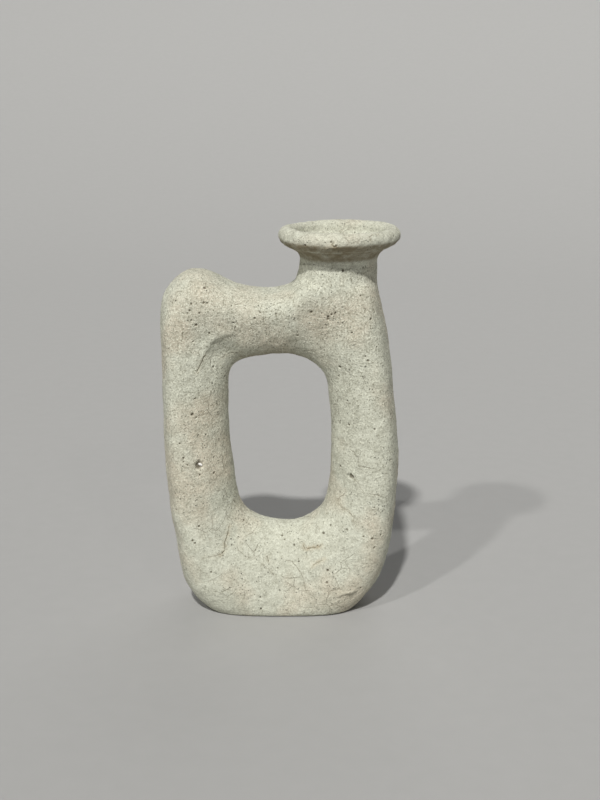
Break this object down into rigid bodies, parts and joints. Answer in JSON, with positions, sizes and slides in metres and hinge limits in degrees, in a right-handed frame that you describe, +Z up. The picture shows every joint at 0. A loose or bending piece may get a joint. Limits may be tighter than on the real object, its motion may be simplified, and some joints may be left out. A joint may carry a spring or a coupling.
{
  "type": "vase",
  "caption": "Hand-built hollow vase: an upright ring of joined clay sections around an open window, with a domed shoulder, a short neck and a dished rim.",
  "frame": {"origin": "centre of the foot's flat face, on the surface that it stands on", "axes": "+Z up, front at -Y, the domed shoulder at -X and the neck and rim at +X"},
  "size_m": [0.2009, 0.1012, 0.334],
  "materials": {
    "clay_body": "matte",
    "clay_rim": "matte",
    "luting_clay": "matte"
  },
  "bodies": {
    "root": {"foot_slab": "clay_body", "base_trough": "clay_body", "left_column": "clay_body", "left_shoulder": "clay_body", "bridge": "clay_body", "right_shoulder": "clay_body", "right_column": "clay_body", "neck": "clay_body", "rim_flare": "clay_rim", "lip_coil": "clay_rim", "lower_left_seam_coil": "luting_clay", "upper_left_seam_coil": "luting_clay", "bridge_left_seam_coil": "luting_clay", "bridge_right_seam_coil": "luting_clay", "upper_right_seam_coil": "luting_clay", "lower_right_seam_coil": "luting_clay"}
  },
  "joints": []
}
